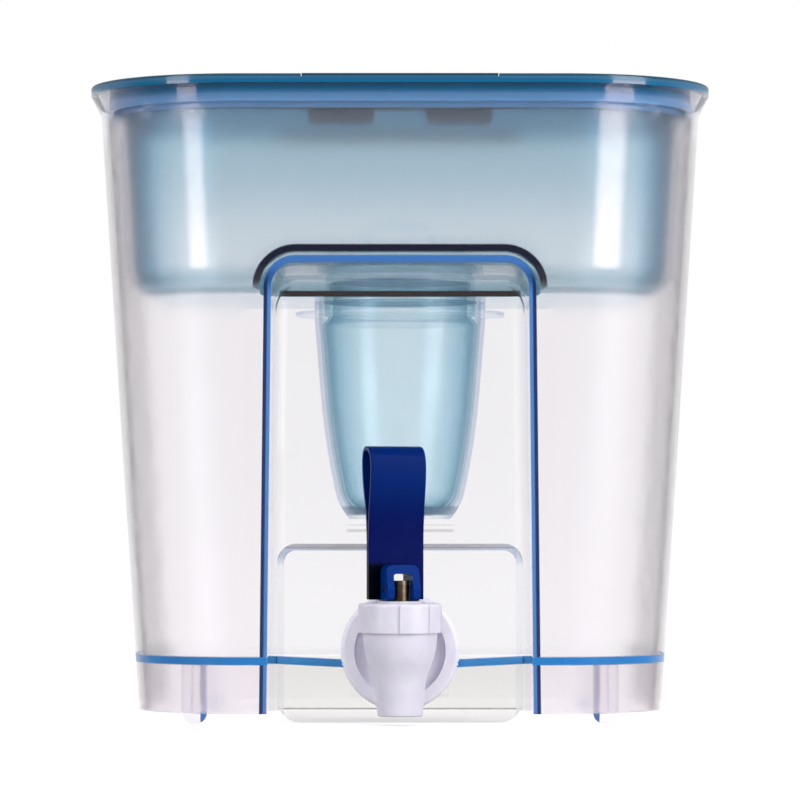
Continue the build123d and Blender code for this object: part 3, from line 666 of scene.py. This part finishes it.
    def foot_lines(self, graph: Graph) -> Socket:
        """Find the blue on each foot: its end, and a fainter line up its inner side."""
        spot = graph.where()
        aside = graph.absolute(spot["x"])
        low = self.foot_x - self.foot_radius
        end = graph.product(graph.step(spot["z"], self.foot_top, self.foot_top - 0.6),
                            graph.band(aside, low, self.foot_x - 2.6, 0.6))
        inner = graph.product(graph.band(aside, low, self.foot_x - 3.2, 0.8),
                              graph.step(spot["z"], self.floor_low, self.floor_low - 1.0),
                              graph.band(spot["y"], -self.foot_y - self.foot_core,
                                         -self.foot_y + self.foot_core, 0.6))
        return graph.largest(end, graph.product(inner, self.foot_share))

    def ledge_line(self, graph: Graph, flat: Socket) -> Paint:
        """Give the share and grey of the panel's outline: painted light and shade on its ledge,
        faint seams beside.
        """
        spot = graph.where()
        line = graph.band(self.panel.distance(graph), *self.ledge_across, 0.6)
        rise = graph.math("MULTIPLY_ADD", graph.step(spot["z"], *self.ledge_rise),
                          self.ledge_share - self.seam_share, self.seam_share)
        share = graph.product(line, flat, graph.step(spot["y"], *self.end_front), rise)
        return share, graph.ramp(graph.step(spot["z"], *self.ledge_top), self.ledge_light_and_shade)

    def end_line(self, graph: Graph, flat: Socket) -> Paint:
        """Draw the line where the niche's ceiling meets its end wall, and the mouth's shade.

        Args:
            graph: The material's node tree.
            flat: Where the surface is upright.

        Returns:
            The share of paint, and its colour.
        """
        spot = graph.where()
        line = graph.band(self.niche_end.distance(graph), *self.end_across, 0.4)
        corner = graph.product(graph.step(spot["z"], *self.end_rise),
                               graph.band(spot["y"], *self.end_ceiling, 0.5))
        line = graph.product(line, flat, corner)
        shade = graph.product(graph.step(spot["nz"], *self.ceiling_down),
                              graph.step(spot["y"], *self.ceiling_front),
                              graph.band(spot["z"], *self.ceiling_height, 1.0))
        share = graph.largest(graph.product(line, self.end_share),
                              graph.product(shade, self.ceiling_share))
        return share, graph.mix(line, *self.niche_greys)

    def reflected_lines(self, graph: Graph, flat: Socket) -> Paint:
        """Draw the grey line at the niche's foot and the two strips low on its end wall.

        Args:
            graph: The material's node tree.
            flat: Where the surface is upright.

        Returns:
            The share of paint, and its colour.
        """
        spot = graph.where()
        inside = graph.step(self.niche.distance(graph), *self.sill_side)
        sill = graph.product(graph.band(spot["z"], *self.sill, 0.3), inside, flat,
                             graph.step(spot["y"], *self.end_front))
        upper = graph.product(graph.band(spot["z"], *self.strip_high, 0.4), self.strip_fade)
        strips = graph.largest(graph.band(spot["z"], *self.strip_low, 0.5), upper)
        strips = graph.product(strips, graph.step(graph.absolute(spot["x"]), *self.strip_side),
                               flat, graph.band(spot["y"], *self.end_wall, 0.5))
        share = graph.largest(graph.product(sill, self.sill_share),
                              graph.product(strips, self.strip_share))
        return share, self.reflected_grey

    def frost(self, graph: Graph) -> Socket:
        """Give 1 on the frosted outer wall, and 0 in the niche and on the lip, floor and feet."""
        spot = graph.where()
        upright = graph.step(graph.absolute(spot["nz"]), *self.frost_upright)
        beside = graph.step(self.niche.distance(graph), *self.frost_beside)
        rear = graph.step(spot["y"], *self.frost_rear)
        wall = graph.product(graph.largest(beside, rear), upright)
        fade = graph.product(graph.step(spot["z"], *self.frost_foot),
                             graph.step(spot["z"], self.lip_high, self.lip_low),
                             graph.step(graph.facing(), *self.frost_facing))
        return graph.product(wall, fade)

    def build(self) -> None:
        """Dress the tank."""
        graph = Graph(self.plastic.name)
        cover, colour = self.edges(graph)
        frost = self.frost(graph)
        show("tank", self.plastic.dress(graph, self.tint(graph), cover, colour, frost), Slot.CLEAR)


@dataclass
class Hopper:
    """The tinted hopper and the well that holds the cartridge, in millimetres."""

    pocket: Arch = Arch()
    pocket_wall: Span = (5.4, 8.4)
    pocket_front: Span = (-62.0, -66.0)
    floor_low: float = 184.0
    floor_top: float = 186.6
    floor_front: Span = (-16.0, -22.0)
    floor_side: Span = (53.0, 51.0)
    floor_share: Span = (0.8, 0.2)
    rim_low: float = 262.2
    rim_top: float = 273.0
    rim_front: Span = (60.0, 30.0)
    rim_share: float = 0.97
    deepening: Span = (206.0, 262.0)
    base_shade: Span = (199.0, 184.5)
    well_base: Span = (89.4, 93.0)
    well_share: float = 0.5
    pocket_black: Triple = paint(0, 12, 40)
    floor_black: Triple = paint(0, 0, 4)
    base_blue: Triple = paint(92, 126, 148)
    low_tint: Stops = stops((0.0, 246, 250, 251), (0.4, 241, 248, 251), (0.58, 206, 232, 241),
                            (0.7, 150, 188, 202), (0.85, 126, 160, 172))
    high_tint: Stops = stops((0.0, 227, 240, 244), (0.4, 226, 241, 246), (0.58, 192, 224, 237),
                             (0.7, 134, 176, 194), (0.85, 112, 150, 168))
    base_tint: Stops = stops((0.0, 206, 224, 230), (0.55, 190, 216, 224), (0.75, 150, 182, 192))
    level_tint: Stops = stops((0.0, 246, 250, 251), (0.7, 228, 240, 246), (0.95, 214, 232, 240))
    rim_blues: Stops = stops((0.0, 96, 140, 178), (0.08, 102, 158, 206), (0.5, 98, 154, 202),
                             (0.68, 60, 132, 180), (0.8, 0, 124, 174), (1.0, 0, 96, 138))
    plastic: ClearPlastic = ClearPlastic(
        "tinted_hopper_plastic", cloud=paint(160, 196, 212), cloudiness=0.05, roughness=0.05,
        mirrored=0.75, glint=1.45, sheen=(1.0, 0.84, 0.74))
    cup: ClearPlastic = ClearPlastic(
        "well_plastic",
        stops((0.0, 254, 255, 255), (0.35, 251, 254, 254), (0.55, 240, 246, 248),
              (0.68, 228, 235, 240), (0.85, 224, 228, 240), (1.0, 230, 232, 244)),
        cloud=paint(190, 205, 220), cloudiness=0.012, roughness=0.1, mirrored=0.6, glint=0.2)

    def tint(self, graph: Graph) -> Socket:
        """Give what each surface lets through: less near the top, at the floor and edge on."""
        spot = graph.where()
        low, high, base, level = (graph.ramp(graph.facing(), table) for table in (
            self.low_tint, self.high_tint, self.base_tint, self.level_tint))
        tint = graph.mix(graph.step(spot["z"], *self.deepening), low, high)
        tint = graph.mix(graph.step(spot["z"], *self.base_shade), tint, base)
        return graph.mix(graph.step(graph.absolute(spot["nz"]), 0.5, 0.8), tint, level)

    def edges(self, graph: Graph) -> Paint:
        """Find where the pocket's wall, the floor and the rim are seen end on, and their blues.

        Args:
            graph: The material's node tree.

        Returns:
            The share of paint, and its colour.
        """
        spot = graph.where()
        wall = graph.band(self.pocket.distance(graph), *self.pocket_wall, 0.9)
        arch = graph.product(wall, graph.step(spot["y"], *self.pocket_front),
                             graph.step(spot["z"], self.floor_low, self.floor_low + 6.0))
        inner = graph.product(graph.step(graph.absolute(spot["x"]), *self.floor_side),
                              graph.step(spot["y"], *self.floor_front))
        floor = graph.product(graph.band(spot["z"], self.floor_low + 0.2, self.floor_top, 0.3),
                              graph.math("MULTIPLY_ADD", inner, *self.floor_share))
        dark = graph.mix(arch, self.floor_black, self.pocket_black)
        rim = graph.product(graph.step(spot["z"], self.rim_low - 0.3, self.rim_low + 0.3),
                            graph.step(spot["y"], *self.rim_front))
        blue = graph.ramp(graph.step(spot["z"], self.rim_low, self.rim_top), self.rim_blues)
        cover = graph.largest(arch, floor, graph.product(rim, self.rim_share))
        return cover, graph.mix(rim, dark, blue)

    def build(self) -> None:
        """Dress the hopper and its well, which shows a band where its floor is seen end on."""
        graph = Graph(self.plastic.name)
        cover, colour = self.edges(graph)
        colour = graph.mix(graph.step(cover, 0.0, 0.12), self.plastic.cloud, colour)
        show("hopper", self.plastic.dress(graph, self.tint(graph), cover, colour), Slot.HOPPER)
        graph = Graph(self.cup.name)
        band = graph.band(graph.where()["z"], *self.well_base, 1.6)
        band = graph.product(band, self.well_share)
        colour = graph.mix(graph.step(band, 0.0, 0.05), self.cup.cloud, self.base_blue)
        show("cartridge_well", self.cup.dress(graph, cover=band, colour=colour), Slot.CUP)


@dataclass
class Lid:
    """The tinted lid and its refill flap, in millimetres."""

    top: float = 275.6
    plate_low: float = 273.0
    skirt_low: float = 262.0
    shade_side: Span = (60.0, 50.0)
    edge_share: float = 0.9
    shade_share: float = 0.8
    shade_blue: Triple = paint(12, 46, 64)
    edge_blues: Stops = stops((0.0, 28, 88, 129), (0.35, 33, 94, 135), (0.6, 19, 74, 105),
                              (0.9, 10, 40, 60), (1.0, 4, 20, 36))
    plastic: ClearPlastic = ClearPlastic(
        "tinted_lid_plastic",
        stops((0.0, 228, 243, 249), (0.5, 206, 232, 242), (0.8, 164, 204, 222),
              (1.0, 124, 174, 198)),
        cloud=paint(80, 150, 182), cloudiness=0.04, roughness=0.1, mirrored=0.2, glint=0.8)

    def build(self) -> None:
        """Dress the lid and the flap, whose edge is darker and whose skirt has painted shade low
        across the middle.
        """
        graph = Graph(self.plastic.name)
        spot = graph.where()
        edge = graph.product(graph.step(spot["z"], self.plate_low - 0.2, self.plate_low),
                             graph.step(graph.absolute(spot["nz"]), 0.9, 0.7))
        colour = graph.ramp(graph.step(spot["z"], self.plate_low, self.top), self.edge_blues)
        # Painted shade under the lid: a dark band low on the skirt, across the middle.
        height = graph.band(spot["z"], self.skirt_low - 5.0, self.skirt_low + 4.0, 4.0)
        side = graph.step(graph.absolute(spot["x"]), *self.shade_side)
        under_lid_shade = graph.product(height, side)
        colour = graph.mix(under_lid_shade, colour, self.shade_blue)
        cover = graph.largest(graph.product(edge, self.edge_share),
                              graph.product(under_lid_shade, self.shade_share))
        dressed = self.plastic.dress(graph, cover=cover, colour=colour)
        for node in ("lid", "refill_flap"):
            show(node, dressed, Slot.LID)


@dataclass
class Cartridge:
    """The replaceable cartridge with its cap, seal, meshes and granules."""

    shell: ClearPlastic = ClearPlastic(
        "cartridge_plastic",
        stops((0.0, 250, 254, 255), (0.1, 249, 254, 255), (0.22, 245, 250, 252),
              (0.31, 242, 248, 251), (0.44, 236, 243, 246), (0.62, 222, 234, 239),
              (1.0, 204, 226, 232)),
        cloud=paint(150, 186, 200), cloudiness=0.02, edge_cloudiness=0.08, roughness=0.12,
        mirrored=0.3, glint=0.2)
    cap: ClearPlastic = ClearPlastic(
        "cartridge_cap_plastic",
        stops((0.0, 251, 254, 255), (0.5, 247, 252, 253), (1.0, 232, 242, 246)),
        cloud=paint(190, 212, 222), cloudiness=0.012, roughness=0.12, mirrored=0.3, glint=0.2)
    silicone: ClearPlastic = ClearPlastic(
        "seal_silicone",
        stops((0.0, 246, 250, 252), (0.6, 238, 244, 247), (1.0, 222, 232, 238)),
        cloud=paint(206, 216, 224), cloudiness=0.04, roughness=0.3, mirrored=0.3, glint=0.3)
    granules: ClearPlastic = ClearPlastic(
        "filter_granules",
        stops((0.0, 252, 254, 255), (0.6, 247, 252, 254), (1.0, 232, 243, 248)),
        cloud=paint(214, 228, 238), cloudiness=0.05, roughness=0.3, ripple=0.3, mirrored=0.15,
        glint=0.2)
    cloth: SolidPlastic = SolidPlastic(
        "mesh_cloth", paint(226, 230, 234), paint(206, 212, 218), roughness=0.8, grain=0.05,
        grain_scale=3.0, sheen=0.2)

    def build(self) -> None:
        """Dress the cartridge's pieces."""
        rows = (
            (self.shell, Slot.WHITE, ("cartridge_housing",)),
            (self.cap, Slot.WHITE, ("cartridge_cap",)),
            (self.silicone, Slot.RUBBER, ("cartridge_seal",)),
            (self.granules, Slot.MEDIA, ("filter_media",)),
            (self.cloth, Slot.CLOTH, ("inlet_mesh", "outlet_mesh")),
        )
        for finish, slot, nodes in rows:
            dressed = finish.dress(Graph(finish.name))
            for node in nodes:
                show(node, dressed, slot)


@dataclass
class Tap:
    """The tap: its body, ring, nuts, seals, stem, spring and lever, in millimetres."""

    white: SolidPlastic = SolidPlastic(
        "tap_plastic", paint(222, 218, 232), paint(216, 212, 227), roughness=0.32, grain=0.008,
        glow=0.05)
    # Painted light: the wall ring is a lighter copy of the tap's white, lifting its shaded dish.
    ring: SolidPlastic = SolidPlastic(
        "lit_ring_plastic", paint(246, 243, 254), paint(240, 237, 250), roughness=0.32, grain=0.008,
        glow=0.05)
    navy: SolidPlastic = SolidPlastic(
        "lever_plastic", paint(0, 34, 104), paint(0, 26, 92), roughness=0.3, grain=0.002,
        gloss=0.06)
    rubber: SolidPlastic = SolidPlastic(
        "gasket_rubber", paint(216, 218, 222), paint(202, 205, 211), roughness=0.5, grain=0.01)
    washer: SolidPlastic = SolidPlastic(
        "washer_plastic", paint(208, 208, 214), paint(198, 199, 206), roughness=0.4, grain=0.01)
    brass: SolidPlastic = SolidPlastic(
        "stem_brass", paint(120, 104, 86), paint(96, 80, 64), roughness=0.34, grain=0.01,
        grain_scale=2.0, metallic=1.0, stretch=(1.0, 1.0, 6.0))
    steel: SolidPlastic = SolidPlastic(
        "spring_steel", paint(190, 190, 194), paint(170, 171, 176), roughness=0.25, grain=0.004,
        grain_scale=2.0, metallic=1.0)
    fork_lit_blue: Triple = paint(0, 44, 118)
    low_navy: Triple = paint(0, 12, 80)
    shadow_navy: Triple = paint(0, 2, 14)
    yaw: float = 18.0
    axis_y: float = -74.5
    fork_behind: float = -4.6
    fork_top: float = 68.4
    fork_side: Span = (-3.0, -5.0)
    strap_low: Span = (106.0, 84.0)
    cloud_span: Span = (0.3, 0.8)
    cloud_share: float = 0.4
    coil_radius: float = 7.1
    wire_radius: float = 0.45
    wire_sides: int = 12
    coil_turns: int = 5
    coil_steps: int = 48
    stem_travel: float = 1.396

    def blues(self, graph: Graph) -> Socket:
        """Give the lever's blue: darker towards its foot, painted shadow beside the fork and
        painted light on it.
        """
        spot = graph.where()
        turn = radians(self.yaw)
        ahead = graph.math("MULTIPLY_ADD", spot["x"], sin(turn), self.axis_y * cos(turn))
        ahead = graph.math("MULTIPLY_ADD", spot["y"], -cos(turn), ahead)
        # Painted light: the thin fork at the stem is a brighter blue, as light comes through it.
        fork = graph.product(graph.step(ahead, self.fork_behind, self.fork_behind + 1.0),
                             graph.step(spot["z"], self.fork_top + 0.6, self.fork_top))
        low = graph.step(spot["z"], *self.strap_low)
        strap = graph.mix(low, self.navy.colour, self.low_navy)
        cloud = graph.step(graph.noise(self.navy.cloud_scale, 3.0), *self.cloud_span)
        strap = graph.mix(graph.product(cloud, self.cloud_share), strap, self.navy.shade)
        # Painted shadow: the strap beside the fork and below its top is darkened towards black.
        behind = graph.product(graph.step(spot["z"], self.fork_top + 1.6, self.fork_top - 1.0),
                               graph.step(spot["x"], *self.fork_side))
        strap = graph.mix(behind, strap, self.shadow_navy)
        return graph.mix(fork, strap, self.fork_lit_blue)

    def wind(self, start: Vector, height: float) -> bpy.types.Mesh:
        """Wind the return spring's mesh.

        Args:
            start: The middle of the wire at its lower end, in metres.
            height: How far the middle of the wire rises, in metres.

        Returns:
            The mesh, closed at both ends of the wire.
        """
        wire = self.wire_radius * MILLIMETRE
        steps = self.coil_turns * self.coil_steps
        mesh = bmesh.new()
        rings: list[list[bmesh.types.BMVert]] = []
        for step in range(steps + 1):
            turn = Matrix.Rotation(radians(360.0 * step / self.coil_steps), 4, "Z")
            middle = Vector((0.0, start.y, start.z + height * step / steps))
            rings.append([])
            for side in range(self.wire_sides):
                angle = radians(360.0 * side / self.wire_sides)
                spot = Vector((start.x + wire * cos(angle), 0.0, wire * sin(angle)))
                rings[-1].append(mesh.verts.new(turn @ spot + middle))
        for low, high in zip(rings, rings[1:]):
            for side in range(self.wire_sides):
                mesh.faces.new((low[side - 1], high[side - 1], high[side], low[side]))
        mesh.faces.new(rings[0])
        mesh.faces.new(reversed(rings[-1]))
        return to_data(mesh, "return_coil")

    def coil(self, steel: bpy.types.Material) -> None:
        """Add the return spring.

        Args:
            steel: Its material.
        """
        low, top = (corner.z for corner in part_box("return_spring"))
        wire = self.wire_radius * MILLIMETRE
        start = Vector((self.coil_radius * MILLIMETRE, self.axis_y * MILLIMETRE, low + wire))
        data = self.wind(start, top - low - 2.0 * wire)
        data.shade_smooth()
        data.materials.append(steel)
        item = put("return_coil", data)
        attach(item, "tank")
        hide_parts("return_spring")
        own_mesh(item)
        LOG.info("wound %s in %s, %d faces", item.name, steel.name, len(data.polygons))

    def build(self) -> None:
        """Dress the tap's pieces and add its spring."""
        made: dict[str, bpy.types.Material] = {}
        seals = ("outer_gasket", "inner_gasket", "bonnet_seal", "stem_seal", "seat_cup")
        rows = (
            (self.white, Slot.WHITE, ("tap_body", "wall_nut", "bonnet_nut")),
            (self.ring, Slot.WHITE, ("wall_ring",)),
            (self.rubber, Slot.RUBBER, seals),
            (self.washer, Slot.WASHER, ("slip_washer",)),
            (self.brass, Slot.BRASS, ("stem",)),
            (self.steel, Slot.PIN, ("lever_pin",)),
            (self.navy, Slot.LEVER, ("lever",)),
        )
        for finish, slot, nodes in rows:
            graph = Graph(finish.name)
            colour = self.blues(graph) if finish is self.navy else None
            made[finish.name] = finish.dress(graph, colour)
            for node in nodes:
                show(node, made[finish.name], slot)
        self.coil(made[self.steel.name])


@dataclass(frozen=True)
class Lamp:
    """A soft rectangular lamp that isn't seen itself, in metres and watts."""

    name: str
    place: Triple
    aim: Triple
    size: Span
    power: float
    mirrored: bool = True

    def build(self) -> None:
        """Hang the lamp so that it faces its aim."""
        data = bpy.data.lights.new(self.name, "AREA")
        data.shape = "RECTANGLE"
        data.size, data.size_y = self.size
        data.energy = self.power
        item = put(self.name, data)
        item.location = self.place
        aim = Vector(self.aim) - Vector(self.place)
        item.rotation_euler = aim.to_track_quat("-Z", "Y").to_euler()
        item.visible_camera = False
        item.visible_glossy = item.visible_transmission = self.mirrored


@dataclass
class Studio:
    """The floor, the white surroundings, the lamps and the camera.

    Sizes are in metres and angles in degrees, but the floor's spans are in millimetres.
    """

    camera_height: float = 0.0894
    camera_reach: float = 1.8335
    pitch: float = 1.59
    lens: float = 186.3
    view_depth: float = 200.0
    strip_reach: float = 1.1
    strip_height: float = 1.2
    strips: tuple[tuple[str, float, float, float], ...] = (
        ("strip_left", -47.0, 0.32, 5.6), ("strip_right", 52.5, 0.5, 11.0))
    lamps: tuple[Lamp, ...] = (
        Lamp("overhead", (0.0, -0.2, 1.5), (0.0, 0.0, 0.0), (1.2, 1.2), 4.0),
        Lamp("ahead_right", (1.2, -2.0, 0.7), (0.0, 0.0, 0.1), (0.6, 0.6), 5.6, mirrored=False),
        Lamp("ahead_left", (-0.4, -2.3, 1.0), (0.0, 0.0, 0.1), (0.6, 0.6), 6.8, mirrored=False))
    sky: float = 0.3
    front: float = 0.08
    rear: float = 0.85
    sky_turn: Span = (-0.25, 0.4)
    floor_half: float = 60.0
    floor_cells: int = 8
    floor_grey: Triple = (0.5, 0.5, 0.5)
    floor_turn: Span = (-400.0, 200.0)
    near_level: float = 0.6
    far_lift: float = 0.13
    far_span: Span = (700.0, 1800.0)
    away_lift: float = 0.16
    away_span: Span = (-250.0, 150.0)
    edge_span: Span = (1500.0, 3000.0)
    clear_bounces: int = 32
    bounces: int = 16

    def mirror_level(self, graph: Graph, depth: Socket, turn: Span) -> Socket:
        """Give the brightness that mirrors show: dim in front of the object, bright behind it.

        Args:
            graph: The node tree.
            depth: How far back the mirrored place is.
            turn: Where the dim part ends and where the bright part starts.

        Returns:
            The brightness.
        """
        behind = graph.step(depth, *turn)
        return graph.math("MULTIPLY_ADD", behind, self.rear - self.front, self.front)

    def surroundings(self) -> None:
        """Make the world white where it is seen and soft grey where it only lights."""
        graph = Graph("studio", world=True)
        rays = graph.add("LightPath").outputs
        depth = graph.add("SeparateXYZ", {0: graph.add("TexCoord").outputs["Generated"]}).outputs[1]
        mirrored = self.mirror_level(graph, depth, self.sky_turn)
        level = graph.between(rays["Is Glossy Ray"], self.sky, mirrored)
        seen = graph.largest(rays["Is Camera Ray"], rays["Is Transmission Ray"])
        strength = graph.between(seen, level, 1.0)
        sky = graph.add("Background", {"Color": WHITE, "Strength": strength})
        bpy.context.scene.world = graph.finish(sky.outputs[0])

    def floor(self) -> None:
        """Lay the pale floor, which is white where it is seen and keeps soft shadows."""
        mesh = bmesh.new()
        cells = self.floor_cells
        bmesh.ops.create_grid(mesh, x_segments=cells, y_segments=cells, size=self.floor_half)
        item = put("floor", to_data(mesh, "floor"))
        graph = Graph("pale_floor")
        rays = graph.add("LightPath").outputs
        spot = graph.where()
        far = graph.length(spot["x"], spot["y"])
        lift = graph.step(far, *self.far_span)
        level = graph.math("MULTIPLY_ADD", lift, self.far_lift, self.near_level)
        away = graph.step(spot["y"], *self.away_span)
        away = graph.largest(away, graph.step(far, *self.edge_span))
        level = graph.math("MULTIPLY_ADD", away, self.away_lift, level)
        mirrored = self.mirror_level(graph, spot["y"], self.floor_turn)
        glossy = graph.product(rays["Is Glossy Ray"], mirrored)
        seen = graph.largest(rays["Is Camera Ray"], rays["Is Transmission Ray"])
        light = graph.add("Emission", {"Strength": graph.between(seen, glossy, level)})
        matt = graph.add("BsdfDiffuse", {"Color": self.floor_grey})
        both = graph.add("AddShader", {0: matt.outputs[0], 1: light.outputs[0]})
        item.data.materials.append(graph.finish(both.outputs[0]))

    def light(self) -> None:
        """Hang the strips on both sides, and then the other lamps."""
        for name, angle, width, power in self.strips:
            turn = radians(angle)
            level = self.strip_height / 2
            spot = (self.strip_reach * sin(turn), -self.strip_reach * cos(turn), level)
            Lamp(name, spot, (0.0, 0.0, level), (width, self.strip_height), power).build()
        for lamp in self.lamps:
            lamp.build()

    def camera(self) -> None:
        """Place the camera in front, tilted slightly up."""
        data = bpy.data.cameras.new("camera")
        data.lens = self.lens
        data.clip_end = self.view_depth
        item = put("camera", data)
        item.matrix_world = (Matrix.Translation((0.0, -self.camera_reach, self.camera_height))
                             @ Matrix.Rotation(radians(90.0 + self.pitch), 4, "X"))
        bpy.context.scene.camera = item

    def build(self) -> None:
        """Set up the studio."""
        self.surroundings()
        self.floor()
        self.light()
        self.camera()
        scene = bpy.context.scene
        scene.view_settings.view_transform = "Standard"
        scene.cycles.transparent_max_bounces = self.clear_bounces
        scene.cycles.max_bounces = self.bounces


def main() -> None:
    """Build the studio and dress each sub-assembly."""
    logging.basicConfig(level=logging.INFO, format="%(name)s: %(message)s")
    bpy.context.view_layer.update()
    for item in (Studio(), Tank(), Hopper(), Lid(), Cartridge(), Tap()):
        item.build()
        LOG.info("built %s", type(item).__name__)


if __name__ == "__main__":
    main()
